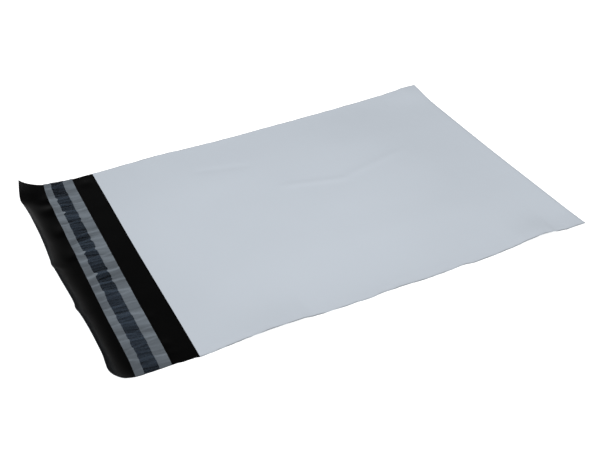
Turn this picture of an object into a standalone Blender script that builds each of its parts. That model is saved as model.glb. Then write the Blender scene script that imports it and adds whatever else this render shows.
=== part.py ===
"""A flat, empty poly mailer: a folded film bag with a peel-and-seal flap.

Metres, +Z up. The origin is the middle of the back wall's underside, which lies on the table.
+X points to the folded bottom end. -X points to the open mouth and the flap beyond it.
"""

import math

import bmesh
import bpy

# Bag
POCKET_WIDTH = 0.2032
POCKET_LENGTH = 0.254
FLAP_LENGTH = 0.053
FILM = 0.00006
WELD_WIDTH = 0.0025
FOLD_GAP = 0.0004
MOUTH_GAP = 0.0006
SLACK = 0.0016
CORNER_LIFT = 0.002
CORNER_REACH = 0.05

# Closure on the flap
LINER_SETBACK = 0.015
LINER_WIDTH = 0.020
LINER = 0.00005
LINER_CRINKLE = 0.00025
CRINKLE_PITCH = 0.0068
ADHESIVE_WIDTH = 0.0081
ADHESIVE_OUTSET = 0.0007
ADHESIVE = 0.00015
ADHESIVE_DAB = 0.006
ADHESIVE_RAGGED = 0.0007
DAB_STEP = 0.0005
SEAT_GAP = 0.0003

# How the ragged edges and the creases wander, in radians a dab or a crease
OUTER_WANDER = 2.4
INNER_WANDER = 1.7
CREASE_WANDER = 2.2
CREASE_UNEVENNESS = 0.4

# The flap's free end curls up. Its tilt at the very end changes across the width:
# (share of the half width, degrees).
CURL_TILTS = ((-1.0, 83.0), (-0.5, 76.0), (0.0, 52.0), (0.45, 57.0), (0.8, 46.0), (1.0, 68.0))

# The share of the liner's margin that slopes from the adhesive down to the film
MARGIN_SLOPE = 0.3

# Edges sharper than this stay crisp in shading
CRISP_EDGE = math.radians(40)

# How finely curved surfaces are divided
POCKET_COLUMNS = 20
POCKET_ROWS = 16
FOLD_ROWS = 3
CURL_ROWS = 9
CRINKLE_STEPS = 4

# Points closer than this are one point where two skins meet
SEW = 0.000001

# Places worked out from the sizes above
HALF_WIDTH = POCKET_WIDTH / 2
HALF_LENGTH = POCKET_LENGTH / 2
MOUTH_X = -HALF_LENGTH
WELD_Y = HALF_WIDTH - WELD_WIDTH
CURL_START = LINER_SETBACK + LINER_WIDTH
CURL_LENGTH = FLAP_LENGTH - CURL_START
LINER_MIDDLE_X = MOUTH_X - LINER_SETBACK - LINER_WIDTH / 2
ADHESIVE_MIDDLE_X = LINER_MIDDLE_X - ADHESIVE_OUTSET
ADHESIVE_BASE = FILM + SEAT_GAP
ADHESIVE_TOP = ADHESIVE_BASE + ADHESIVE

WHITE_SIDE = 0
BLACK_SIDE = 1


def blend(share):
    """Ease smoothly from 0 to 1."""
    share = min(max(share, 0.0), 1.0)
    return share * share * (3 - 2 * share)


def spread(start, end, steps):
    """Evenly spaced values from start to end, both included."""
    return [start + (end - start) * step / steps for step in range(steps + 1)]


def corner_lift(x, y):
    """How far the bag's bottom corners stand off the table."""
    distance = math.hypot(HALF_LENGTH - x, HALF_WIDTH - abs(y))
    return CORNER_LIFT * blend(1 - distance / CORNER_REACH)


def ply_gap(x, y):
    """The space between the two plies, which closes at the side welds."""
    along = (x - MOUTH_X) / POCKET_LENGTH
    across = min(abs(y) / WELD_Y, 1.0)
    ends = MOUTH_GAP + (FOLD_GAP - MOUTH_GAP) * along
    swell = SLACK * math.sin(math.pi * along) ** 2
    return (ends + swell) * (1 - across**2)


def curl_tilt(y):
    """The tilt of the flap's end at y, eased between the stations of CURL_TILTS."""
    share = y / HALF_WIDTH
    for (near, near_tilt), (far, far_tilt) in zip(CURL_TILTS, CURL_TILTS[1:]):
        if share <= far:
            tilt = near_tilt + (far_tilt - near_tilt) * blend((share - near) / (far - near))
            return math.radians(tilt)
    return math.radians(CURL_TILTS[-1][1])


def flap_point(reach, y, height):
    """A point of the flap: reach is the distance from the mouth, height is above its underside."""
    if reach <= CURL_START:
        return (MOUTH_X - reach, y, height)
    radius = CURL_LENGTH / curl_tilt(y)
    turn = (reach - CURL_START) / radius
    across = CURL_START + (radius - height) * math.sin(turn)
    return (MOUTH_X - across, y, radius - (radius - height) * math.cos(turn))


def back_point(x, y, height):
    """A point of the back wall under the pocket."""
    return (x, y, corner_lift(x, y) + height)


def front_point(x, y, height):
    """A point of the front wall: height is above the front wall's inner face."""
    return (x, y, corner_lift(x, y) + FILM + ply_gap(x, y) + height)


def fold_x(y):
    """Where the flat walls end and the bottom fold's bend begins."""
    return HALF_LENGTH - FILM - ply_gap(HALF_LENGTH, y) / 2


def fold_point(turn, y, height):
    """A point round the bottom fold: height is above its outer face, towards the bend's axis."""
    outer = FILM + ply_gap(HALF_LENGTH, y) / 2
    radius = outer - height
    x = fold_x(y) + radius * math.sin(turn)
    return (x, y, corner_lift(fold_x(y), y) + outer - radius * math.cos(turn))


def add_skin(mesh, rows, material):
    """Join rows of points, each as long as the next, into a skin of four-sided faces."""
    grid = [[mesh.verts.new(point) for point in row] for row in rows]
    for row, after in zip(grid, grid[1:]):
        for left in range(len(row) - 1):
            corners = (row[left], row[left + 1], after[left + 1], after[left])
            mesh.faces.new(corners).material_index = material


def pocket_x(share, y):
    """The x of a share of the way from the mouth to the bottom fold's bend."""
    return MOUTH_X + (fold_x(y) - MOUTH_X) * share


def new_material(name, colour, roughness):
    """A plain dielectric material."""
    material = bpy.data.materials.new(name)
    material.use_nodes = True
    surface = material.node_tree.nodes["Principled BSDF"]
    surface.inputs["Base Color"].default_value = (*colour, 1.0)
    surface.inputs["Roughness"].default_value = roughness
    surface.inputs["Metallic"].default_value = 0.0
    material.diffuse_color = (*colour, 1.0)
    return material


def finish_object(name, mesh, materials):
    """Sew the skins of a mesh into one closed body and put it in the scene."""
    bmesh.ops.remove_doubles(mesh, verts=mesh.verts, dist=SEW)
    bmesh.ops.recalc_face_normals(mesh, faces=mesh.faces)
    data = bpy.data.meshes.new(name)
    mesh.to_mesh(data)
    mesh.free()
    for material in materials:
        data.materials.append(material)
    data.shade_smooth()
    data.set_sharp_from_angle(angle=CRISP_EDGE)
    part = bpy.data.objects.new(name, data)
    bpy.context.scene.collection.objects.link(part)
    return part


def build_film_bag(white, black):
    """The film: one web folded at the bottom and fused along both sides, open at the mouth."""
    inner = spread(-WELD_Y, WELD_Y, POCKET_COLUMNS)
    columns = [-HALF_WIDTH, *inner, HALF_WIDTH]
    reaches = [*spread(FLAP_LENGTH, CURL_START, CURL_ROWS), LINER_SETBACK, 0.0]
    shares = spread(0.0, 1.0, POCKET_ROWS)
    turns = spread(0.0, math.pi, FOLD_ROWS)[1:-1]
    mesh = bmesh.new()

    flap_under = [[flap_point(reach, y, 0.0) for y in columns] for reach in reaches]
    back_under = [[back_point(pocket_x(share, y), y, 0.0) for y in columns] for share in shares]
    fold_outer = [[fold_point(turn, y, 0.0) for y in columns] for turn in turns]
    front_top = [[front_point(pocket_x(share, y), y, FILM) for y in columns] for share in shares]
    outside = flap_under + back_under[1:] + fold_outer + front_top[::-1]
    add_skin(mesh, outside, WHITE_SIDE)

    flap_top = [[flap_point(reach, y, FILM) for y in columns] for reach in reaches]
    add_skin(mesh, flap_top, BLACK_SIDE)

    back_inner = [[back_point(pocket_x(share, y), y, FILM) for y in inner] for share in shares]
    fold_inner = [[fold_point(turn, y, FILM) for y in inner] for turn in turns]
    front_inner = [[front_point(pocket_x(share, y), y, 0.0) for y in inner] for share in shares]
    add_skin(mesh, back_inner + fold_inner + front_inner[::-1], BLACK_SIDE)

    add_skin(mesh, [flap_under[0], flap_top[0]], WHITE_SIDE)
    lip_under = [flap_top[-1][0], *front_inner[0], flap_top[-1][-1]]
    add_skin(mesh, [lip_under, front_top[0]], WHITE_SIDE)

    for side in (0, -1):
        y = columns[side]
        seam = [back_point(pocket_x(share, y), y, FILM) for share in shares]
        lower_cut = [row[side] for row in flap_under + back_under[1:]]
        upper_cut = [row[side] for row in front_top]
        add_skin(mesh, [lower_cut, [row[side] for row in flap_top] + seam[1:]], WHITE_SIDE)
        add_skin(mesh, [seam, upper_cut], WHITE_SIDE)
        bend = [lower_cut[-1], *[row[side] for row in fold_outer], upper_cut[-1], seam[-1]]
        mesh.faces.new([mesh.verts.new(point) for point in bend])
    return finish_object("film_bag", mesh, [white, black])


def add_loft(mesh, rings):
    """Join closed rings of points into a body, with both ends closed."""
    add_skin(mesh, [[*ring, ring[0]] for ring in rings], 0)
    for end in (rings[0], rings[-1]):
        mesh.faces.new([mesh.verts.new(point) for point in end])


def build_adhesive_strip(material):
    """The hot-melt strip: a row of dabs laid down in one run, so its edges step in and out."""
    dabs = round(POCKET_WIDTH / ADHESIVE_DAB)
    bounds = spread(-HALF_WIDTH, HALF_WIDTH, dabs)
    mesh = bmesh.new()
    rings = []
    for count, (near, far) in enumerate(zip(bounds, bounds[1:])):
        outer = -ADHESIVE_WIDTH / 2 + ADHESIVE_RAGGED * math.sin(OUTER_WANDER * count)
        inner = ADHESIVE_WIDTH / 2 + ADHESIVE_RAGGED * math.cos(INNER_WANDER * count)
        start = near if count == 0 else near + DAB_STEP / 2
        end = far if count == dabs - 1 else far - DAB_STEP / 2
        for y in (start, end):
            low = [(ADHESIVE_MIDDLE_X + x, y, ADHESIVE_BASE) for x in (outer, inner)]
            high = [(ADHESIVE_MIDDLE_X + x, y, ADHESIVE_TOP) for x in (inner, outer)]
            rings.append(low + high)
    add_loft(mesh, rings)
    return finish_object("adhesive_strip", mesh, [material])


def crinkle(y):
    """The liner's fine creases across the flap, of uneven height."""
    creases = y / CRINKLE_PITCH
    ridge = math.sin(math.pi * creases) ** 2
    uneven = 1 - CREASE_UNEVENNESS * (1 - math.sin(CREASE_WANDER * creases))
    return LINER_CRINKLE * ridge * uneven


def build_release_liner(material):
    """The liner: raised over the adhesive, lower along both margins, creased across."""
    ridges = round(POCKET_WIDTH / CRINKLE_PITCH)
    half_liner = LINER_WIDTH / 2
    half_band = ADHESIVE_WIDTH / 2 + ADHESIVE_RAGGED + SEAT_GAP
    outer_band = half_band + ADHESIVE_OUTSET
    inner_band = half_band - ADHESIVE_OUTSET
    outer_step = outer_band + (half_liner - outer_band) * MARGIN_SLOPE
    inner_step = inner_band + (half_liner - inner_band) * MARGIN_SLOPE
    band = ADHESIVE_TOP + SEAT_GAP
    margin = FILM + SEAT_GAP
    section = [
        (-half_liner, margin),
        (-outer_step, margin),
        (-outer_band, band),
        (inner_band, band),
        (inner_step, margin),
        (half_liner, margin),
    ]
    mesh = bmesh.new()
    rings = []
    for y in spread(-HALF_WIDTH, HALF_WIDTH, ridges * CRINKLE_STEPS):
        low = [(LINER_MIDDLE_X + x, y, z + crinkle(y)) for x, z in section]
        high = [(x, y, z + LINER) for x, y, z in reversed(low)]
        rings.append(low + high)
    add_loft(mesh, rings)
    return finish_object("release_liner", mesh, [material])


def build_mailer():
    """Clear the scene and build the bag, its adhesive and its liner."""
    for old in list(bpy.data.objects):
        bpy.data.objects.remove(old, do_unlink=True)
    white = new_material("film_white", (0.55, 0.58, 0.62), 0.4)
    black = new_material("film_black", (0.01, 0.01, 0.012), 0.35)
    build_film_bag(white, black)
    build_adhesive_strip(new_material("hot_melt", (0.02, 0.026, 0.036), 0.3))
    build_release_liner(new_material("liner_film", (0.14, 0.16, 0.19), 0.3))


build_mailer()
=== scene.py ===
"""A flat, empty poly mailer on a pale table: its film, its adhesive and its release liner.

The bag lies along X: the folded bottom is at +X, and the open mouth and the closing flap are at -X.
Everything is in metres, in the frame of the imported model, and stands where that model stands.
"""

from __future__ import annotations

import logging
import math
from bisect import bisect_right
from dataclasses import dataclass, field
from enum import Enum, IntEnum
from typing import Callable, Iterable, TypeVar

import bmesh
import bpy
from bmesh.types import BMEdge
from bpy.types import ID, Material, NodeSocket, Object
from mathutils import Euler, Matrix, Vector, noise


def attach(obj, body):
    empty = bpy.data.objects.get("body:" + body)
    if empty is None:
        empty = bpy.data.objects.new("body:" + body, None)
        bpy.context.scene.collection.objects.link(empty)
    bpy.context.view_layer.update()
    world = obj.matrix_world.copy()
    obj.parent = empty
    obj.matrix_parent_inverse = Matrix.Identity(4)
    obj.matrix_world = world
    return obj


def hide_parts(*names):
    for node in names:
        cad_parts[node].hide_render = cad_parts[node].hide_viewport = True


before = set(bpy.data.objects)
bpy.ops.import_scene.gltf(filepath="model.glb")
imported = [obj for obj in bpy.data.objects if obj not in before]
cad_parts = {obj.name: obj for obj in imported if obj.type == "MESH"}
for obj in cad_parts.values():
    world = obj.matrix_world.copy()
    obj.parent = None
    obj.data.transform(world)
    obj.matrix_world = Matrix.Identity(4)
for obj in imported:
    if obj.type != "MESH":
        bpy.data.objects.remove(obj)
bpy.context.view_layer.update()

LOG = logging.getLogger("mailer")
ROOT_BODY = "root"

SLIVER = 1e-5  # Two places closer than this are one place.
SMOOTH_ANGLE = math.radians(50.0)  # Edges that turn by more than this stay sharp.
WHITE = (1.0, 1.0, 1.0, 1.0)

Point = tuple[float, float, float]
Colour = tuple[float, float, float]
Span = tuple[float, float]
Row = TypeVar("Row")


class Slot(Enum):
    """The pieces' material slots."""

    FILM = "film"
    ADHESIVE = "adhesive"
    LINER = "liner"


class FilmFace(IntEnum):
    """The film's material slots, in the order in which its mesh holds them."""

    OUTSIDE = 0
    INSIDE = 1
    CUT_EDGE = 2


class Element(Enum):
    """What is picked in edit mode, with the name of its list in a bmesh."""

    EDGE = "edges"
    FACE = "faces"


def ease(share: float) -> float:
    """Return a share between 0 and 1, eased at both ends."""
    share = min(max(share, 0.0), 1.0)
    return share * share * (3.0 - 2.0 * share)


def hump(offset: float, spread: float) -> float:
    """Return a smooth hump of height 1 that fades over about twice its spread."""
    return math.exp(-((offset / spread) ** 2))


@dataclass(frozen=True)
class Swell:
    """Smooth noise of one strength and size. A `squeeze` below 1 draws it out along the bag."""

    strength: float
    size: float
    seed: float = 0.0
    squeeze: float = 1.0

    def at(self, x: float, y: float, shift: float = 0.0) -> float:
        """Return the noise at a place, from its seed plus a shift."""
        spot = (x * self.squeeze / self.size, y / self.size, self.seed + shift)
        return self.strength * noise.noise(Vector(spot))


def swelling(swells: tuple[Swell, ...], x: float, y: float, start: float = 0.0) -> float:
    """Return a start value with several swells added to it, in their order."""
    for swell in swells:
        start += swell.at(x, y)
    return start


def listed(kind: Callable[..., Row], *rows: Iterable) -> tuple[Row, ...]:
    """Return one object of a kind for each row of its sizes."""
    return tuple(kind(*row) for row in rows)


def in_tenths(kind: Callable[..., Row], *rows: tuple[int, ...]) -> tuple[Row, ...]:
    """Return one object of a kind for each row of its sizes in tenths of a millimetre."""
    return listed(kind, *([size / 10000 for size in row] for row in rows))


def spline_shares(places: list[float], at: float) -> list[tuple[int, float]]:
    """Return how much each station near a place counts there, for a smooth curve through them.

    Args:
        places: The stations' places, in rising order.
        at: The place that is asked for.

    Returns:
        Pairs of a station's index and its share. The shares add up to 1.
    """
    last = len(places) - 1
    right = min(max(bisect_right(places, at), 1), last)
    left = right - 1
    gap = places[right] - places[left]
    t = (at - places[left]) / gap
    shares: dict[int, float] = {left: 1.0 - ease(t), right: ease(t)}
    for index, pull in ((left, t * (1.0 - t) ** 2), (right, t * t * (t - 1.0))):
        low, high = max(index - 1, 0), min(index + 1, last)
        weight = pull * gap / (places[high] - places[low])
        shares[high] = shares.get(high, 0.0) + weight
        shares[low] = shares.get(low, 0.0) - weight
    return sorted(shares.items())


@dataclass(frozen=True)
class CurlStation:
    """The flap's section at one place across the bag.

    The wall is flat as far as `start` from the mouth. From there its tilt grows, as a power of the
    distance, to `tilt` degrees at its cut end, which is `reach` from the mouth.
    """

    across: float
    reach: float
    start: float
    power: float
    tilt: float

    def tilt_at(self, share: float) -> float:
        """Return the tilt, in radians, at a share of the way from the mouth to the cut end."""
        run = (share * self.reach - self.start) / (self.reach - self.start)
        return math.radians(self.tilt) * max(run, 0.0) ** self.power


@dataclass(frozen=True)
class Buckle:
    """A short ridge that runs out of the liner into the curl: steep on its near side."""

    across: float
    height: float
    near_spread: float
    far_spread: float
    end: float

    def rise(self, reach: float, y: float, root: float) -> float:
        """Return the ridge's height, fading from its root at the liner's edge to its own end."""
        spread = self.near_spread if y < self.across else self.far_spread
        fade = ease((self.end - reach) / (self.end - root))
        return self.height * hump(y - self.across, spread) * fade


@dataclass(frozen=True)
class Pucker:
    """A faint round swell in the film between the mouth and the liner."""

    reach: float
    across: float
    height: float
    spread: float


@dataclass(frozen=True)
class Wrinkle:
    """A faint straight ridge in the front wall, or a valley where its height is negative."""

    along: Span
    across: Span
    height: float
    spread: float
    end_share: float = 0.25

    def rise(self, x: float, y: float) -> float:
        """Return the ridge's height at a place. It fades towards both its ends."""
        run, drift = self.along[1] - self.along[0], self.across[1] - self.across[0]
        length = math.hypot(run, drift)
        dx, dy = x - self.along[0], y - self.across[0]
        share = (dx * run + dy * drift) / length**2
        offset = (dx * drift - dy * run) / length
        fade = ease(share / self.end_share) * ease((1.0 - share) / self.end_share)
        return self.height * fade * hump(offset, self.spread)


@dataclass(frozen=True)
class EdgeStation:
    """How one long edge lies at one place along the bag: drawn inwards, and off the table."""

    along: float
    inset: float
    lift: float


@dataclass(frozen=True)
class Crease:
    """A cross crease of the liner, with the notches that it makes in the adhesive's two edges."""

    across: float
    strength: float
    outer_notch: float = 0.0
    inner_notch: float = 0.0


@dataclass
class BagForm:
    """The shape in which the bag lies: where each point of the flat film goes."""

    half_width: float = 0.1016
    mouth: float = -0.127
    fold: float = 0.1278
    flap: float = 0.053
    flap_steps: int = 212
    film: float = 0.00006
    weld: float = 0.0025
    weld_height: float = 0.00018
    bead_height: float = 0.00012
    bead_width: float = 0.0006
    crimp_height: float = 0.0004
    crimp_spread: float = 0.006
    crimp_swells: tuple[Swell, ...] = listed(Swell, (0.6, 0.007, 3.1), (0.4, 0.0035, 7.7))
    nick_depth: float = 0.00022
    nick_swells: tuple[Swell, ...] = listed(Swell, (1.0, 0.0031, 6.3), (0.6, 0.011, 2.7))
    fold_height: float = 0.0005
    fold_parts: float = 8.0
    mouth_gap: float = 0.0004
    mouth_spread: float = 0.02
    mouth_skew: float = 0.00055
    mouth_skew_from: Span = (-0.02, 0.08)
    mouth_bow: float = 0.00035
    mouth_bow_at: float = 0.02
    mouth_bow_spread: float = 0.045
    slack: float = 0.0011
    slack_parts: float = 5.0
    slack_spread: float = 0.055
    slack_swells: tuple[Swell, ...] = listed(Swell, (0.45, 0.075, 1.3), (0.12, 0.026, 5.9))
    stations: tuple[CurlStation, ...] = listed(
        CurlStation,
        (-0.1016, 0.0532, 0.029, 1.5, 78.0), (-0.0965, 0.0526, 0.0335, 1.15, 78.0),
        (-0.088, 0.0521, 0.0355, 1.0, 81.0), (-0.078, 0.0522, 0.036, 1.0, 82.5),
        (-0.068, 0.0524, 0.036, 1.0, 81.0), (-0.058, 0.0527, 0.0362, 1.0, 79.0),
        (-0.049, 0.053, 0.0362, 1.0, 74.0), (-0.0425, 0.053, 0.0365, 1.0, 67.0),
        (-0.039, 0.053, 0.0365, 1.0, 71.0), (-0.03, 0.053, 0.0365, 1.0, 69.0),
        (-0.015, 0.053, 0.037, 1.0, 62.0), (0.001, 0.053, 0.0375, 1.0, 54.5),
        (0.006, 0.053, 0.038, 1.0, 48.5), (0.0095, 0.053, 0.038, 1.0, 53.0),
        (0.0135, 0.053, 0.0378, 1.0, 55.0), (0.025, 0.053, 0.0372, 1.0, 58.0),
        (0.038, 0.053, 0.0378, 1.0, 61.0), (0.051, 0.053, 0.037, 1.0, 57.0),
        (0.064, 0.053, 0.0365, 1.0, 52.0), (0.076, 0.053, 0.035, 1.2, 44.0),
        (0.085, 0.053, 0.03, 1.5, 33.0), (0.093, 0.0525, 0.02, 1.8, 42.0),
        (0.1016, 0.0512, 0.013, 2.0, 48.0),
    )
    buckles: tuple[Buckle, ...] = listed(
        Buckle,
        (0.084, 0.0009, 0.003, 0.005, 0.047),
        (0.0705, 0.0014, 0.005, 0.0055, 0.048),
        (0.043, 0.0011, 0.0032, 0.008, 0.0435),
        (0.015, 0.0009, 0.0026, 0.008, 0.044),
    )
    buckle_root: float = 0.0352
    buckle_ramp: float = 0.0035
    puckers: tuple[Pucker, ...] = listed(
        Pucker,
        (0.007, 0.0915, 0.00035, 0.0042),
        (0.0125, -0.059, 0.00022, 0.0028),
        (0.0125, -0.0845, 0.00038, 0.003),
        (0.012, -0.0925, 0.00022, 0.0026),
    )
    pucker_spreads: float = 3.0
    wrinkles: tuple[Wrinkle, ...] = listed(
        Wrinkle,
        ((-0.026, 0.028), (0.025, 0.01), 0.00032, 0.0031),
        ((0.013, 0.08), (0.012, 0.0265), 0.00024, 0.0036),
        ((-0.07, -0.024), (0.07, 0.057), -0.00022, 0.0034),
    )
    corner_inset: float = 0.0012
    corner_spread: float = 0.012
    corner_from: float = 0.038
    near_edge: tuple[EdgeStation, ...] = in_tenths(
        EdgeStation,
        (-1390, 0, 0), (-1350, -6, 0), (-1290, -6, 0), (-1260, -14, 0), (-1200, -11, 0),
        (-1140, -5, 0), (-1030, 0, 3), (-930, 0, 8), (-790, 0, 11), (-650, 0, 9),
        (-580, -2, 1), (-500, -6, 0), (-400, -10, 0), (-320, -8, 0), (-240, -12, 0),
        (-140, -3, 0), (-20, -5, 0), (140, -13, 0), (240, -12, 0), (400, -3, 0),
        (450, -14, 0), (590, -10, 0), (730, -1, 0), (790, 0, 5), (850, 0, 15),
        (970, 0, 23), (1030, 0, 19), (1090, 0, 5), (1150, -4, 1), (1270, -4, 1),
    )
    far_edge: tuple[EdgeStation, ...] = in_tenths(
        EdgeStation,
        (-1285, 0, 0), (-1260, 5, 0), (-1000, 3, 2), (-850, 2, 6), (-720, 0, 3),
        (-610, 4, 0), (-470, 9, 0), (-270, 14, 0), (30, 11, 0), (410, 9, 0),
        (550, 4, 0), (750, 0, 0), (960, 0, 5), (1100, 0, 14), (1170, 0, 21),
        (1270, 0, 20),
    )
    lift_spread: float = 0.016
    fold_pull: float = 0.0016
    fold_pull_from: float = 0.077
    _sections: dict[float, list[Point]] = field(default_factory=dict)

    def section(self, y: float) -> list[Point]:
        """Return the flap's section at y, as (run, height, tilt) from the mouth to the cut end.

        Args:
            y: Place across the bag.

        Returns:
            One entry for each step along the film, drawn from the stations on both sides of y.
        """
        key = round(y, 6)
        if key in self._sections:
            return self._sections[key]
        shares = spline_shares([station.across for station in self.stations], y)
        reach = sum(share * self.stations[index].reach for index, share in shares)
        step = reach / self.flap_steps
        run, height = 0.0, 0.0
        points = [(0.0, 0.0, 0.0)]
        for count in range(self.flap_steps):
            middle = (count + 0.5) / self.flap_steps
            tilt = sum(share * self.stations[index].tilt_at(middle) for index, share in shares)
            run += step * math.cos(tilt)
            height += step * math.sin(tilt)
            points.append((run, height, tilt))
        self._sections[key] = points
        return points

    def flap_point(self, reach: float, y: float, height: float) -> Vector:
        """Return a point of the flap.

        Args:
            reach: Distance from the mouth along the flat film.
            y: Place across the bag.
            height: Distance above the wall's underside, square to the film.

        Returns:
            Where that point lies.
        """
        section = self.section(y)
        place = min(max(reach / self.flap, 0.0), 1.0) * self.flap_steps
        low = min(int(place), self.flap_steps - 1)
        run, rise, tilt = (
            a + (b - a) * (place - low) for a, b in zip(section[low], section[low + 1])
        )
        x = self.mouth - run + height * math.sin(tilt)
        along = self.mouth - reach
        z = rise + height * math.cos(tilt) + self.edge_lift(along, y)
        end = ease((reach - self.corner_from) / (self.flap - self.corner_from))
        drawn = self.corner_inset * end * hump(y + self.half_width, self.corner_spread)
        drawn -= self.drawn_in(along, y)
        return Vector((x, y + drawn, z + self.buckle(reach, y) + self.pucker(reach, y)))

    def pucker(self, reach: float, y: float) -> float:
        """Return the height of the faint puckers in the film beside the liner's inner edge."""
        return sum(
            spot.height * hump(reach - spot.reach, spot.spread) * hump(y - spot.across, spot.spread)
            for spot in self.puckers
            if abs(y - spot.across) < self.pucker_spreads * spot.spread
        )

    def buckle(self, reach: float, y: float) -> float:
        """Return the height of the short ridges that leave the liner's outer edge."""
        inner = ease((reach - self.buckle_root + self.buckle_ramp) / self.buckle_ramp)
        if inner == 0.0:
            return 0.0
        return inner * sum(buckle.rise(reach, y, self.buckle_root) for buckle in self.buckles)

    def edge(self, x: float, y: float) -> Span:
        """Return how far the nearer long edge is drawn inwards and lifted, abreast of x.

        Args:
            x: Place along the bag.
            y: Place across it, which picks the edge.

        Returns:
            The inset and the lift.
        """
        stations = self.near_edge if y < 0.0 else self.far_edge
        right = bisect_right([station.along for station in stations], x)
        before, after = stations[max(right - 1, 0)], stations[min(right, len(stations) - 1)]
        gap = after.along - before.along
        mix = ease((x - before.along) / gap) if gap else 0.0
        return (
            before.inset + (after.inset - before.inset) * mix,
            before.lift + (after.lift - before.lift) * mix,
        )

    def edge_lift(self, x: float, y: float) -> float:
        """Return how far the bag stands off the table at x and y because its edges lift."""
        return self.edge(x, y)[1] * hump(self.half_width - abs(y), self.lift_spread)

    def drawn_in(self, x: float, y: float) -> float:
        """Return how far the film at x and y is drawn inwards, together with its long edge."""
        share = y / self.half_width
        return (self.edge(x, y)[0] + self.nick(x, y)) * share * abs(share)

    def nick(self, x: float, y: float) -> float:
        """Return how far the cut of the nearer long edge wavers, abreast of x."""
        return self.nick_depth * swelling(self.nick_swells, x, math.copysign(1.0, y))

    def crimp(self, x: float, y: float) -> float:
        """Return the fine waves that the side welds leave along both long edges."""
        waves = abs(swelling(self.crimp_swells, x, y))
        return self.crimp_height * waves * hump(self.half_width - abs(y), self.crimp_spread)

    def back_point(self, x: float, y: float) -> Vector:
        """Return a point of the back wall's underside below the pocket."""
        share = y / self.half_width
        end = ease((x - self.fold_pull_from) / (self.fold - self.fold_pull_from))
        pull = self.fold_pull * (1.0 - share * share) * end
        return Vector((x - pull, y - self.drawn_in(x, y), self.edge_lift(x, y) + self.crimp(x, y)))

    def front_point(self, x: float, y: float) -> Vector:
        """Return a point of the front wall's top face, above the back wall's point."""
        along = (x - self.mouth) / (self.fold - self.mouth)
        across = ease((self.half_width - self.weld - abs(y)) / self.slack_spread)
        bottom = ease((along - 1.0) * self.fold_parts + 1.0)
        ends = self.mouth_gap + (self.fold_height - self.mouth_gap) * bottom
        swell = self.slack * ease(along * self.slack_parts) * ease((1.0 - along) * self.slack_parts)
        drift = swelling(self.slack_swells, x, y, 1.0)
        bead = self.bead_height * hump(self.half_width - abs(y), self.bead_width)
        gap = self.weld_height + bead + (ends + swell * drift) * across
        gap += sum(wrinkle.rise(x, y) for wrinkle in self.wrinkles)
        drawn = self.mouth_drawn(y) * hump(x - self.mouth, self.mouth_spread)
        return self.back_point(x, y) + Vector((drawn, 0.0, gap))

    def mouth_drawn(self, y: float) -> float:
        """Return how far the front wall's edge at the mouth is drawn towards the bottom fold."""
        start, width = self.mouth_skew_from
        skewed = self.mouth_skew * ease((start - y) / width)
        return skewed - self.mouth_bow * hump(y - self.mouth_bow_at, self.mouth_bow_spread)

    def rim_point(self, x: float, y: float, share: float) -> Vector:
        """Return a point of the back wall (share 0), the front wall (share 1) or their rim."""
        low, high = self.back_point(x, y), self.front_point(x, y)
        bulge = math.sin(math.pi * share) * (high.z - low.z) / 2.0
        end = Vector((bulge if x > self.fold - SLIVER else 0.0, 0.0, 0.0))
        return low.lerp(high, share) + end


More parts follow.
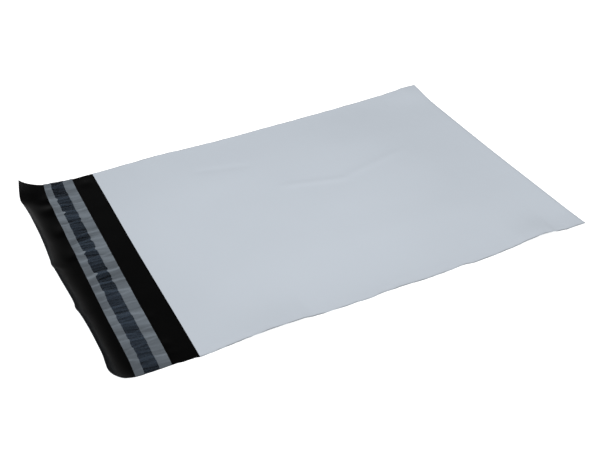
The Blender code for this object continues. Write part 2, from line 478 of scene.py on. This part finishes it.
class Bench:
    """Selects and works on meshes as by hand."""

    @staticmethod
    def clear() -> None:
        """Deselect everything."""
        bpy.ops.object.select_all(action="DESELECT")

    @staticmethod
    def take(piece: Object) -> None:
        """Select one object alone and make it active."""
        Bench.clear()
        piece.select_set(True)
        bpy.context.view_layer.objects.active = piece

    @staticmethod
    def edit(piece: Object, kind: Element, test: Callable[..., bool]) -> None:
        """Enter edit mode on a piece, with only its elements selected that pass a test."""
        Bench.take(piece)
        bpy.ops.object.mode_set(mode="EDIT")
        bpy.ops.mesh.select_mode(type=kind.name)
        bpy.ops.mesh.select_all(action="DESELECT")
        Bench.pick(piece, kind, test)

    @staticmethod
    def pick(piece: Object, kind: Element, test: Callable[..., bool]) -> None:
        """Select the edges or faces that pass a test, in edit mode."""
        mesh = bmesh.from_edit_mesh(piece.data)
        for element in getattr(mesh, kind.value):
            element.select_set(test(element))
        bmesh.update_edit_mesh(piece.data)

    @staticmethod
    def leave() -> None:
        """Return to object mode."""
        bpy.ops.object.mode_set(mode="OBJECT")

    @staticmethod
    def thicken(piece: Object, **values: object) -> None:
        """Make a sheet solid by a Solidify modifier with these values, and smooth it."""
        Bench.take(piece)
        modifier = piece.modifiers.new("thickness", "SOLIDIFY")
        for key, value in values.items():
            setattr(modifier, key, value)
        bpy.ops.object.modifier_apply(modifier=modifier.name)
        bpy.ops.object.shade_smooth_by_angle(angle=SMOOTH_ANGLE)

    @staticmethod
    def grid(name: str, low: Point, high: Point, columns: int, rows: int) -> Object:
        """Add a flat grid between two corners.

        Args:
            name: The object's name.
            low: The corner with the lowest x and y.
            high: The corner with the highest x and y.
            columns: Number of faces along X.
            rows: Number of faces along Y.

        Returns:
            The grid, with its place in its mesh.
        """
        Bench.clear()
        middle = [(a + b) / 2.0 for a, b in zip(low, high)]
        bpy.ops.mesh.primitive_grid_add(
            x_subdivisions=columns, y_subdivisions=rows, size=1.0, location=middle
        )
        piece = bpy.context.active_object
        piece.name = name
        piece.data.name = name
        piece.scale = (high[0] - low[0], high[1] - low[1], 1.0)
        bpy.ops.object.transform_apply(location=True, rotation=True, scale=True)
        return piece

    @staticmethod
    def note(piece: Object, name: str, measure: Callable[[Vector], float]) -> None:
        """Write a measure of each point into a mesh, for a material to read by this name."""
        noted = piece.data.attributes.new(name, "FLOAT", "POINT").data
        for index, vertex in enumerate(piece.data.vertices):
            noted[index].value = measure(vertex.co)

    @staticmethod
    def reshape(piece: Object, place: Callable[[Vector], Vector]) -> None:
        """Move every vertex of a piece to where a function puts it."""
        for vertex in piece.data.vertices:
            vertex.co = place(vertex.co.copy())
        piece.data.update()


class Signal:
    """A shader socket that takes part in Python arithmetic."""

    def __init__(self, recipe: "Recipe", socket: NodeSocket) -> None:
        """Wrap a socket of a recipe's node tree."""
        self.recipe = recipe
        self.socket = socket

    def _with(self, operation: str, first: object, second: object) -> "Signal":
        """Add one Math node."""
        return self.recipe.node("Math", {"operation": operation}, {0: first, 1: second})

    def __add__(self, other: object) -> "Signal":
        """Return self + other."""
        return self._with("ADD", self, other)

    __radd__ = __add__

    def __sub__(self, other: object) -> "Signal":
        """Return self - other."""
        return self._with("SUBTRACT", self, other)

    def __rsub__(self, other: object) -> "Signal":
        """Return other - self."""
        return self._with("SUBTRACT", other, self)

    def __mul__(self, other: object) -> "Signal":
        """Return self * other."""
        return self._with("MULTIPLY", self, other)

    __rmul__ = __mul__

    def around(self, middle: float, width: float) -> "Signal":
        """Return this value, from 0 to 1, as a swing of some width around a middle."""
        return self * width + (middle - width / 2.0)


class Recipe:
    """The node tree of one material or world. Every node in it comes from `node`."""

    def __init__(self, owner: ID) -> None:
        """Take over an empty tree."""
        self.owner = owner
        owner.use_nodes = True
        self.tree = owner.node_tree
        self.tree.nodes.clear()

    def node(
        self,
        kind: str,
        settings: dict[str, object] | None = None,
        inputs: dict[object, object] | None = None,
        output: object = 0,
    ) -> Signal:
        """Add a node.

        Args:
            kind: The node's type, without the prefix that they all have.
            settings: Its own properties, which are set first.
            inputs: Values or signals for its sockets, by index, name or identifier.
            output: The socket to return, by index or identifier.

        Returns:
            The output socket, ready for arithmetic.
        """
        made = self.tree.nodes.new("ShaderNode" + kind)
        for key, value in (settings or {}).items():
            setattr(made, key, value)
        for key, value in (inputs or {}).items():
            socket = self._find(made.inputs, key)
            if isinstance(value, Signal):
                self.tree.links.new(value.socket, socket)
            else:
                socket.default_value = value
        if not made.outputs:
            return Signal(self, made.inputs[0])
        return Signal(self, self._find(made.outputs, output))

    @staticmethod
    def _find(sockets: bpy.types.bpy_prop_collection, key: object) -> NodeSocket:
        """Return a node's socket by index, identifier or name."""
        if isinstance(key, int):
            return sockets[key]
        for socket in sockets:
            if socket.identifier == key:
                return socket
        return sockets[key]

    def place(self, stretch: Point = (1.0, 1.0, 1.0)) -> Signal:
        """Return the place on the object, stretched along each axis."""
        inputs = {"Vector": self.node("TexCoord", output="Object"), "Scale": stretch}
        return self.node("Mapping", {"vector_type": "POINT"}, inputs)

    def axis(self, letter: str) -> Signal:
        """Return the place on the object along X, Y or Z."""
        return self.node("SeparateXYZ", {}, {"Vector": self.place()}, letter)

    def cloud(self, scale: float, detail: float = 2.0, stretch: Point = (1.0, 1.0, 1.0)) -> Signal:
        """Return soft noise around 0.5.

        Args:
            scale: Swells in a metre.
            detail: Octaves of finer noise.
            stretch: How much finer the pattern is along each axis.

        Returns:
            The noise as a signal.
        """
        inputs = {"Vector": self.place(stretch), "Scale": scale, "Detail": detail}
        return self.node("TexNoise", {}, inputs)

    def attribute(self, name: str) -> Signal:
        """Return a number that the mesh carries."""
        return self.node("Attribute", {"attribute_name": name}, {}, "Fac")

    def ramp(self, value: Signal, span: Span, power: int = 1) -> Signal:
        """Return value as a smooth step from 0 to 1 between the powers of the span's ends."""
        settings = {"interpolation_type": "SMOOTHSTEP", "clamp": True}
        inputs = {"Value": value, "From Min": span[0] ** power, "From Max": span[1] ** power}
        return self.node("MapRange", settings, inputs)

    def blend(self, share: Signal, first: object, second: object) -> Signal:
        """Return a colour between two colours or colour signals."""
        inputs = {"Factor_Float": share, "A_Color": first, "B_Color": second}
        return self.node("Mix", {"data_type": "RGBA"}, inputs, "Result_Color")

    def shades(self, share: Signal, colour: Colour, factors: Span) -> Signal:
        """Return a colour between two shades of one colour."""
        return self.blend(share, *(shade(colour, factor) for factor in factors))

    def bump(self, height: Signal, depth: float) -> Signal:
        """Return the normal of a surface with this relief, depth metres from 0 to 1."""
        inputs = {"Height": height, "Strength": 1.0, "Distance": depth}
        return self.node("Bump", {}, inputs)

    def finish(self, colour: Signal, roughness: object, **more: object) -> Material:
        """Close a material's tree with a Principled BSDF of this colour and roughness, and more."""
        surface = {"Base Color": colour, "Roughness": roughness, **more}
        shader = self.node("BsdfPrincipled", {}, surface)
        self.node("OutputMaterial", {}, {"Surface": shader})
        return self.owner


def new_recipe(name: str) -> Recipe:
    """Return the recipe of a new material."""
    return Recipe(bpy.data.materials.new(name))


def shade(colour: Colour, factor: float) -> tuple[float, ...]:
    """Return a colour made lighter or darker, with its alpha."""
    return (*(part * factor for part in colour), 1.0)


@dataclass(frozen=True)
class PaleFilm:
    """The bag's outside: smooth satin film in a cool off-white.

    It carries a painted pool of light in its middle and painted shade at the bottom corners,
    and has a dark seam along the welded sides.
    """

    colour: Colour = (0.502, 0.547, 0.602)
    unevenness: float = 0.06
    tone_swing: float = 0.35
    tone_least: float = 0.27
    painted_light: float = 0.45
    painted_light_at: Span = (-0.035, 0.008)
    painted_light_span: Span = (0.125, 0.03)
    corner_painted_shade: float = 0.3
    corner_along: Span = (0.095, 0.125)
    corner_across: Span = (0.077, 0.098)
    roughness: float = 0.42
    haze: float = 0.12
    relief: float = 0.0002
    seam_width: float = 0.0009
    seam_shade: float = 0.45
    seam_patches: Span = (0.32, 0.6)

    def make(self) -> Material:
        """Return the material."""
        recipe = new_recipe("film_pale_outside")
        along, across = recipe.axis("X"), recipe.axis("Y")
        # Painted light: a broad lighter patch in the middle of the film.
        dx, dy = along - self.painted_light_at[0], across - self.painted_light_at[1]
        middle = recipe.ramp(dx * dx + dy * dy, self.painted_light_span, 2)
        # Painted shade: the bottom corners are made darker.
        corner = recipe.ramp(along, self.corner_along)
        corner = corner * recipe.ramp(across * across, self.corner_across, 2)
        tone = recipe.cloud(11.0) * self.tone_swing + self.tone_least
        tone = tone + middle * self.painted_light - corner * self.corner_painted_shade
        film = recipe.shades(tone, self.colour, (1.0 - self.unevenness, 1.0 + self.unevenness))
        patches = recipe.ramp(recipe.cloud(110.0), self.seam_patches) * 0.85 + 0.15
        seam = recipe.ramp(recipe.attribute("to_rim"), (self.seam_width, 0.0)) * patches
        relief = recipe.cloud(90.0, stretch=(1.0, 0.4, 1.0)) * 0.6 + recipe.cloud(900.0) * 0.05
        return recipe.finish(
            recipe.blend(seam, film, shade(self.colour, self.seam_shade)),
            recipe.cloud(60.0, 3.0).around(self.roughness, self.haze),
            Normal=recipe.bump(relief, self.relief),
        )


@dataclass(frozen=True)
class BlackFilm:
    """The bag's inside: nearly black film with a soft sheen, and painted sheen on the near half of
    the curl.
    """

    colour: Colour = (0.001, 0.001, 0.0011)
    factors: Span = (0.7, 1.3)
    painted_sheen: Colour = (0.0065, 0.0065, 0.0066)
    painted_sheen_factors: Span = (0.85, 1.15)
    painted_sheen_along: Span = (-0.1665, -0.1745)
    painted_sheen_across: Span = (0.0, -0.045)
    roughness: float = 0.32
    haze: float = 0.16
    relief: float = 0.0004

    def make(self) -> Material:
        """Return the material."""
        recipe = new_recipe("film_black_inside")
        tone = recipe.cloud(40.0, 3.0)
        # Painted sheen: the near half of the curl's end gets a lighter colour, for light that it
        # reflects.
        curl = recipe.ramp(recipe.axis("X"), self.painted_sheen_along)
        curl = curl * recipe.ramp(recipe.axis("Y"), self.painted_sheen_across)
        plain = recipe.shades(tone, self.colour, self.factors)
        painted_sheen = recipe.shades(tone, self.painted_sheen, self.painted_sheen_factors)
        relief = recipe.cloud(45.0, stretch=(1.0, 0.6, 1.0)) + recipe.cloud(420.0) * 0.03
        return recipe.finish(
            recipe.blend(curl, plain, painted_sheen),
            recipe.cloud(75.0, 3.0).around(self.roughness, self.haze),
            Normal=recipe.bump(relief, self.relief),
        )


@dataclass(frozen=True)
class CutEdge:
    """The film's cut edge, where the pale skin and the black one meet."""

    colour: Colour = (0.05, 0.05, 0.053)
    factors: Span = (0.6, 1.4)
    roughness: float = 0.5

    def make(self) -> Material:
        """Return the material."""
        recipe = new_recipe("film_cut_edge")
        colour = recipe.shades(recipe.cloud(500.0), self.colour, self.factors)
        return recipe.finish(colour, self.roughness)


@dataclass(frozen=True)
class HotMelt:
    """The adhesive: dark and tacky, in uneven dabs."""

    colour: Colour = (0.017, 0.024, 0.036)
    factors: Span = (0.7, 1.3)
    roughness: float = 0.24
    haze: float = 0.12
    relief: float = 0.00025

    def make(self) -> Material:
        """Return the material."""
        recipe = new_recipe("hot_melt_adhesive")
        tone = recipe.cloud(260.0, 3.0)
        relief = recipe.cloud(330.0, 3.0, (0.4, 1.0, 1.0))
        return recipe.finish(
            recipe.shades(tone, self.colour, self.factors),
            tone * self.haze + self.roughness,
            Normal=recipe.bump(relief, self.relief),
        )


@dataclass(frozen=True)
class LinerFilm:
    """The liner: a frosted film that turns clear and dark where it sticks to the adhesive.

    Its tone follows its creases and ripples: partly the frosted film lifting off the dark film,
    partly painted light and shade on the ripples and painted highlights on the creases. Painted
    shading also
    runs across the bag: towards the far side the frosted margins grow lighter and the clear band a
    little darker.
    """

    frosted: Colour = (0.122, 0.142, 0.163)
    frosted_factors: Span = (0.75, 1.33)
    stuck: Colour = (0.0185, 0.0262, 0.0375)
    stuck_factors: Span = (0.3, 2.1)
    tone_least: float = -0.15
    ripple_frost_and_painted_shading: float = 1.1
    crease_lift_and_painted_highlight: float = 1.2
    grain_light: float = 0.15
    edge_blur: float = 0.00022
    margin_painted_shading: float = 2.6
    band_painted_shading: float = -0.4
    alpha: float = 0.97
    clearer: float = 0.25
    roughness: float = 0.34
    haze: float = 0.14
    relief: float = 0.00008

    def make(self) -> Material:
        """Return the material."""
        recipe = new_recipe("liner_film")
        stuck = recipe.ramp(recipe.attribute("inside_band"), (-self.edge_blur, self.edge_blur))
        # Tone from the ripples and creases: partly the frosted film lifting off, partly painted
        # light and shade and painted highlights.
        tone = recipe.attribute("ripple") * self.ripple_frost_and_painted_shading + self.tone_least
        tone = tone + recipe.attribute("crease") * self.crease_lift_and_painted_highlight
        grain = recipe.cloud(420.0, stretch=(0.5, 1.0, 1.0)) - 0.5
        tone = tone + grain * self.grain_light
        # Painted shading across the bag: the margins grow lighter and the band darker towards the
        # far side.
        across = recipe.axis("Y")
        margin_tone, band_tone = tone + across * self.margin_painted_shading, tone + across * self.band_painted_shading
        margin = recipe.shades(margin_tone, self.frosted, self.frosted_factors)
        band = recipe.shades(band_tone, self.stuck, self.stuck_factors)
        relief = recipe.cloud(240.0, 3.0, (0.35, 1.0, 1.0))
        return recipe.finish(
            recipe.blend(stuck, margin, band),
            recipe.cloud(120.0).around(self.roughness, self.haze),
            Alpha=self.alpha - stuck * self.clearer,
            Normal=recipe.bump(relief, self.relief),
        )


@dataclass
class FilmBag:
    """The bag itself: one web of film, folded at the bottom and fused along both sides."""

    form: BagForm
    pocket_columns: int = 127
    flap_columns: int = 53
    rows: int = 128
    raised: float = 0.01
    edge_packing: float = 0.09
    edge_power: int = 9

    def build(self) -> Object:
        """Model the film as one sheet with a true thickness.

        Returns:
            The finished bag.
        """
        bag = self.lay_back_wall()
        self.extend_flap(bag)
        self.fold_front_wall(bag)
        self.fuse_rim(bag)
        self.mark_rim(bag)
        Bench.reshape(bag, self.drape)
        self.thicken(bag)
        return bag

    def lay_back_wall(self) -> Object:
        """Lay the back wall of the pocket flat."""
        form = self.form
        corners = (form.mouth, -form.half_width, 0.0), (form.fold, form.half_width, 0.0)
        return Bench.grid("mailer_film", *corners, self.pocket_columns, self.rows)

    def extend_flap(self, bag: Object) -> None:
        """Run the back wall on past the mouth as the flap, and divide it finely."""
        end = self.form.mouth + SLIVER
        Bench.edit(bag, Element.EDGE, lambda edge: all(v.co.x < end for v in edge.verts))
        reach = (-self.form.flap, 0.0, 0.0)
        bpy.ops.mesh.extrude_region_move(TRANSFORM_OT_translate={"value": reach})
        Bench.pick(bag, Element.EDGE, self.crosses_flap)
        bpy.ops.mesh.subdivide(number_cuts=self.flap_columns - 1)
        Bench.leave()

    def crosses_flap(self, edge: BMEdge) -> bool:
        """Tell whether an edge runs from the mouth to the flap's cut end."""
        xs = sorted(vertex.co.x for vertex in edge.verts)
        return xs[0] < self.form.mouth - SLIVER and xs[1] - xs[0] > SLIVER

    def fold_front_wall(self, bag: Object) -> None:
        """Lay a copy of the back wall above it as the front wall."""
        mouth = self.form.mouth
        Bench.edit(bag, Element.FACE, lambda face: face.calc_center_median().x > mouth)
        bpy.ops.mesh.duplicate_move(TRANSFORM_OT_translate={"value": (0.0, 0.0, self.raised)})
        Bench.leave()

    def fuse_rim(self, bag: Object) -> None:
        """Join the two walls along both sides and round the bottom."""
        Bench.edit(bag, Element.EDGE, self.on_rim)
        bpy.ops.mesh.bridge_edge_loops(number_cuts=1, interpolation="LINEAR")
        bpy.ops.mesh.select_all(action="SELECT")
        bpy.ops.mesh.normals_make_consistent(inside=False)
        Bench.leave()

    def on_rim(self, edge: BMEdge) -> bool:
        """Tell whether an edge lies on the pocket's sides or bottom."""
        mouth = self.form.mouth
        xs = sorted(vertex.co.x for vertex in edge.verts)
        return len(edge.link_faces) == 1 and xs[0] >= mouth - SLIVER and xs[1] >= mouth + SLIVER

    def mark_rim(self, bag: Object) -> None:
        """Note how far each point of the flat film is from the nearer welded side."""
        side = self.form.half_width
        Bench.note(bag, "to_rim", lambda flat: side - abs(self.packed(flat.y)))

    def packed(self, y: float) -> float:
        """Return y drawn towards the long edges, where the film needs more points."""
        form = self.form
        share = abs(y) / form.half_width
        packed = share * (1.0 + self.edge_packing) - self.edge_packing * share**self.edge_power
        return math.copysign(packed * form.half_width, y)

    def drape(self, flat: Vector) -> Vector:
        """Return where a point of the flat film lies on the finished bag."""
        form = self.form
        y = self.packed(flat.y)
        if flat.x < form.mouth - SLIVER:
            return form.flap_point(form.mouth - flat.x, y, 0.0)
        return form.rim_point(flat.x, y, flat.z / self.raised)

    def thicken(self, bag: Object) -> None:
        """Give the film its thickness, with its black side inwards."""
        for material in (PaleFilm().make(), BlackFilm().make(), CutEdge().make()):
            bag.data.materials.append(material)
        Bench.thicken(
            bag,
            thickness=self.form.film,
            offset=-1.0,
            material_offset=int(FilmFace.INSIDE),
            material_offset_rim=int(FilmFace.CUT_EDGE),
        )


@dataclass
class Closure:
    """The adhesive and its liner, laid across the flap."""

    form: BagForm
    setback: float = 0.0148
    liner_width: float = 0.02
    liner: float = 0.00005
    liner_columns: int = 34
    liner_rows: int = 560
    band_inner: float = 0.0216
    band_outer: float = 0.0299
    adhesive: float = 0.00015
    adhesive_columns: int = 8
    adhesive_rows: int = 560
    adhesive_inset: float = 0.0001
    seat: float = 0.0003
    step_span: float = 0.0012
    ragged: float = 0.0005
    dab_seeds: Span = (2.2, 8.4)
    dab_pitch: float = 0.0036
    dab_drift: Swell = Swell(0.45, 0.009)
    dab_edge: Swell = Swell(1.0, 0.0021)
    dab_step: float = 0.22
    notch_width: float = 0.0012
    crease_width: float = 0.0009
    crease_height: float = 0.00038
    crease_slant: float = -0.1
    crease_turn: Swell = Swell(0.55, 0.0037, 8.8)
    crease_waver: Swell = Swell(0.0012, 0.007, 4.4)
    crease_level: float = 0.75
    crease_fade: Swell = Swell(0.35, 0.008, 9.1)
    ripple_height: float = 0.00024
    ripple_pitch: float = 0.0028
    ripple_turn: Swell = Swell(0.55, 0.019, 1.9)
    ripple_drift: Swell = Swell(0.9, 0.0085, 5.2, 0.4)
    ripple_least: float = 0.35
    ripple_depth: Swell = Swell(1.3, 0.0042, 6.9, 0.5)
    depth_pitch: float = 0.0031
    broad_ripple: Swell = Swell(0.42, 0.0055, 3.7, 0.16)
    saw: float = 0.75
    outer_painted_shade: float = 0.11
    outer_shade_span: float = 0.003
    beyond_from: Span = (0.0035, 0.0015)
    creases: tuple[Crease, ...] = listed(
        Crease,
        (0.0975, 0.45), (0.0905, 0.3),
        (0.081, 0.55, 0.0008, 0.0001), (0.072, 0.65),
        (0.0635, 1.0, 0.0018, 0.0003), (0.0575, 0.35),
        (0.0495, 0.7, 0.0, 0.0006), (0.042, 0.3),
        (0.0345, 0.7, 0.0002, 0.0002), (0.0265, 0.5, 0.0, 0.0007),
        (0.0225, 0.4), (0.016, 1.0, 0.0017, 0.0009),
        (0.008, 0.5, 0.0003, 0.0), (0.001, 0.4, 0.0, 0.0002),
        (-0.0085, 1.0, 0.002, 0.0007), (-0.019, 0.75, 0.0001, 0.0006),
        (-0.0275, 0.8, 0.0002, 0.0002), (-0.0335, 0.45, 0.0002, 0.0),
        (-0.0425, 0.5), (-0.051, 0.65, 0.0003, 0.0002),
        (-0.0585, 0.4), (-0.068, 0.55, 0.0001, 0.0001),
        (-0.0735, 0.6, 0.0003, 0.0), (-0.0795, 0.35),
        (-0.0905, 0.55, 0.0002, 0.0001), (-0.097, 0.4),
    )

    @property
    def middle(self) -> float:
        """The adhesive band's middle, as a distance from the mouth."""
        return (self.band_inner + self.band_outer) / 2.0

    def band(self, y: float) -> Span:
        """Return the adhesive's two edges at y, as distances from the mouth.

        Args:
            y: Place across the bag.

        Returns:
            The edge nearer the mouth, then the edge nearer the flap's end.
        """
        inner = self.band_inner + self.dab(y, self.dab_seeds[0])
        outer = self.band_outer + self.dab(y, self.dab_seeds[1])
        for crease in self.creases:
            pinch = hump(y - crease.across, self.notch_width)
            inner += crease.inner_notch * pinch
            outer -= crease.outer_notch * pinch
        return inner, outer

    def inside(self, reach: float, y: float) -> float:
        """Return how far a place lies inside the adhesive's edges, or outside them if negative."""
        inner, outer = self.band(y)
        return min(reach - inner, outer - reach)

    def dab(self, y: float, seed: float) -> float:
        """Return how far the adhesive's edge stands out at y: it steps from dab to dab.

        Args:
            y: Place across the bag.
            seed: Picks one of the two edges.

        Returns:
            The offset, about as much as `ragged` either way.
        """
        place = y / self.dab_pitch + self.dab_drift.at(0.0, y, seed)
        count = math.floor(place)
        low = self.dab_edge.at(0.0, count * self.dab_pitch, seed)
        high = self.dab_edge.at(0.0, (count + 1) * self.dab_pitch, seed)
        step = ease((place - count - 1.0) / self.dab_step + 1.0)
        return self.ragged * (low + (high - low) * step)

    def crease(self, reach: float, y: float) -> float:
        """Return how strongly the liner is creased at a place, from 0 to about 1."""
        total = 0.0
        for count, crease in enumerate(self.creases):
            turn = self.crease_slant + self.crease_turn.at(0.0, crease.across)
            slant = (reach - self.middle) * turn
            waver = self.crease_waver.at(reach, crease.across)
            fade = self.crease_level + self.crease_fade.at(reach, crease.across, count)
            offset = y - crease.across + slant + waver
            total = max(total, crease.strength * fade * hump(offset, self.crease_width))
        return total

    def ripple(self, reach: float, y: float) -> float:
        """Return the liner's soft cross waves, each steep on one side like a saw's tooth.

        Args:
            reach: Distance from the mouth along the flat film.
            y: Place across the bag.

        Returns:
            The height of the waves, from about 0 to 1.
        """
        turn = self.crease_slant + self.ripple_turn.at(0.0, y)
        skewed = y + (reach - self.middle) * turn
        place = skewed / self.ripple_pitch + self.ripple_drift.at(reach, skewed)
        count = math.floor(place)
        depth = self.ripple_least + abs(self.ripple_depth.at(reach, count * self.depth_pitch))
        # Painted shade: beyond the adhesive's outer edge the value drops, which darkens the liner
        # there and lowers its waves a little.
        outer_shade = self.outer_painted_shade * ease((reach - self.band_outer) / self.outer_shade_span)
        start, width = self.beyond_from
        beyond = ease((abs(reach - self.middle) - start) / width)
        broad = self.broad_ripple.at(reach, skewed) * (1.0 + 0.6 * beyond)
        saw = self.saw * depth * (0.5 - (place - count)) * (1.0 - 0.5 * beyond)
        return 0.5 - outer_shade + broad + saw

    def flap_height(self, reach: float, y: float) -> float:
        """Return how high the liner's underside lies above the flap's: it steps up at the band."""
        over = ease((self.inside(reach, y) + self.step_span) / self.step_span)
        base = self.form.film + self.seat + self.adhesive * 2.0 * over
        ripple = self.ripple_height * self.ripple(reach, y)
        crease = self.crease_height * self.crease(reach, y)
        return base + (ripple + crease)

    def build_liner(self) -> Object:
        """Model the liner, creased across, with the band where it sticks to the adhesive.

        Returns:
            The finished liner.
        """
        form = self.form
        high = form.mouth - self.setback
        corners = (high - self.liner_width, -form.half_width, 0.0), (high, form.half_width, 0.0)
        liner = Bench.grid("mailer_liner", *corners, self.liner_columns, self.liner_rows)
        measures = {"inside_band": self.inside, "crease": self.crease, "ripple": self.ripple}
        for name, measure in measures.items():
            Bench.note(liner, name, lambda flat: measure(form.mouth - flat.x, flat.y))
        Bench.reshape(liner, self.place_liner)
        liner.data.materials.append(LinerFilm().make())
        Bench.thicken(liner, thickness=self.liner, offset=1.0)
        return liner

    def place_liner(self, flat: Vector) -> Vector:
        """Return where a point of the flat liner lies on the flap."""
        reach = self.form.mouth - flat.x
        return self.form.flap_point(reach, flat.y, self.flap_height(reach, flat.y))

    def build_adhesive(self) -> Object:
        """Model the adhesive: a low strip with ragged edges and an uneven top.

        Returns:
            The finished strip.
        """
        side = self.form.half_width - self.adhesive_inset
        corners = (-1.0, -side, 0.0), (1.0, side, 0.0)
        strip = Bench.grid("mailer_adhesive", *corners, self.adhesive_columns, self.adhesive_rows)
        Bench.reshape(strip, self.place_adhesive)
        strip.data.materials.append(HotMelt().make())
        Bench.thicken(strip, thickness=self.adhesive, offset=1.0)
        return strip

    def place_adhesive(self, flat: Vector) -> Vector:
        """Return where a point of the adhesive's underside lies: flat x runs from -1 to 1."""
        inner, outer = self.band(flat.y)
        reach = (inner + outer) / 2.0 - flat.x * (outer - inner) / 2.0
        return self.form.flap_point(reach, flat.y, self.form.film + self.seat * 0.5)


@dataclass(frozen=True)
class Lamp:
    """A soft area lamp that faces the bag."""

    name: str
    place: Point
    width: float
    power: float


@dataclass
class Studio:
    """The table, the light and the camera."""

    floor_drop: float = 0.0002
    floor_size: float = 12.0
    floor_colour: Colour = (0.82, 0.82, 0.82)
    floor_glow: float = 0.5
    world_strength: float = 0.695
    horizon_strength: float = 0.105
    horizon_span: Span = (0.57, 0.12)
    wall_strength: float = 0.027
    wall_span: Span = (0.85, 0.7)
    eye: Point = (-0.2343, -0.4776, 0.3601)
    turn: float = 24.264
    dip: float = 35.652
    roll: float = -2.412
    lens: float = 59.32
    sensor: float = 36.0
    nearest: float = 0.01
    lamps: tuple[Lamp, ...] = (
        Lamp("key_lamp", (-2.7, -6.75, 6.75), 5.85, 558.0),
        Lamp("fill_lamp", (0.9, -0.7, 0.9), 0.9, 1.5),
    )

    def build(self) -> None:
        """Set up the whole studio."""
        self.lay_floor()
        self.light_world()
        for lamp in self.lamps:
            self.hang(lamp)
        self.set_camera()
        bpy.context.scene.view_settings.view_transform = "Standard"

    def lay_floor(self) -> None:
        """Lay a plain table, white to the camera and pale to the light."""
        Bench.clear()
        below = (0.0, 0.0, -self.floor_drop)
        bpy.ops.mesh.primitive_plane_add(size=self.floor_size, location=below)
        floor = bpy.context.active_object
        floor.name = "table"
        recipe = new_recipe("table")
        seen = recipe.node("LightPath", output="Is Camera Ray")
        matt = recipe.node("BsdfDiffuse", {}, {"Color": (*self.floor_colour, 1.0)})
        glow_inputs = {"Color": WHITE, "Strength": seen * self.floor_glow}
        glow = recipe.node("Emission", {}, glow_inputs)
        both = recipe.node("AddShader", {}, {0: matt, 1: glow})
        recipe.node("OutputMaterial", {}, {"Surface": both})
        floor.data.materials.append(recipe.owner)

    def light_world(self) -> None:
        """Fill the room with soft light, white where the camera sees it and dark to reflections."""
        world = bpy.data.worlds.new("room")
        bpy.context.scene.world = world
        recipe = Recipe(world)
        rays = ("Is Camera Ray", "Is Diffuse Ray", "Is Glossy Ray")
        seen, spread, gloss = (recipe.node("LightPath", output=ray) for ray in rays)
        way = recipe.node("TexCoord", output="Generated")
        rise = recipe.node("SeparateXYZ", {}, {"Vector": way}, "Z")
        horizon = recipe.ramp(rise, self.horizon_span) * self.horizon_strength
        wall = recipe.ramp(rise, self.wall_span) * self.wall_strength
        strength = seen + spread * self.world_strength + gloss * (horizon + wall)
        sky = recipe.node("Background", {}, {"Color": WHITE, "Strength": strength})
        recipe.node("OutputWorld", {}, {"Surface": sky})

    def hang(self, lamp: Lamp) -> None:
        """Hang one lamp, turned to the middle of the bag."""
        data = bpy.data.lights.new(lamp.name, "AREA")
        data.shape = "DISK"
        data.size = lamp.width
        data.energy = lamp.power
        hung = self.add(data)
        hung.location = lamp.place
        hung.rotation_euler = Vector(lamp.place).to_track_quat("Z", "Y").to_euler()

    def set_camera(self) -> None:
        """Place the camera where the photograph was taken from."""
        data = bpy.data.cameras.new("camera")
        data.lens = self.lens
        data.sensor_width = self.sensor
        data.clip_start = self.nearest
        camera = self.add(data)
        tilt = Euler((math.radians(90.0 - self.dip), 0.0, math.radians(-self.turn))).to_matrix()
        lean = Matrix.Rotation(math.radians(self.roll), 3, "Z")
        camera.matrix_world = (tilt @ lean).to_4x4()
        camera.location = self.eye
        bpy.context.scene.camera = camera

    @staticmethod
    def add(data: ID) -> Object:
        """Put a lamp or a camera into the scene under its own name."""
        added = bpy.data.objects.new(data.name, data)
        bpy.context.scene.collection.objects.link(added)
        return added


def hand_over(piece: Object, node: str, slot: Slot) -> None:
    """Tell the frame what a piece rides on, and hide the part that it stands for."""
    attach(piece, ROOT_BODY)
    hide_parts(node)
    LOG.info("%s stands for %s: %d faces", piece.name, node, len(piece.data.polygons))


def main() -> None:
    """Build the bag and the studio."""
    logging.basicConfig(level=logging.INFO, format="%(name)s: %(message)s")
    form = BagForm()
    closure = Closure(form)
    hand_over(FilmBag(form).build(), "film_bag", Slot.FILM)
    hand_over(closure.build_adhesive(), "adhesive_strip", Slot.ADHESIVE)
    hand_over(closure.build_liner(), "release_liner", Slot.LINER)
    Studio().build()


if __name__ == "__main__":
    main()
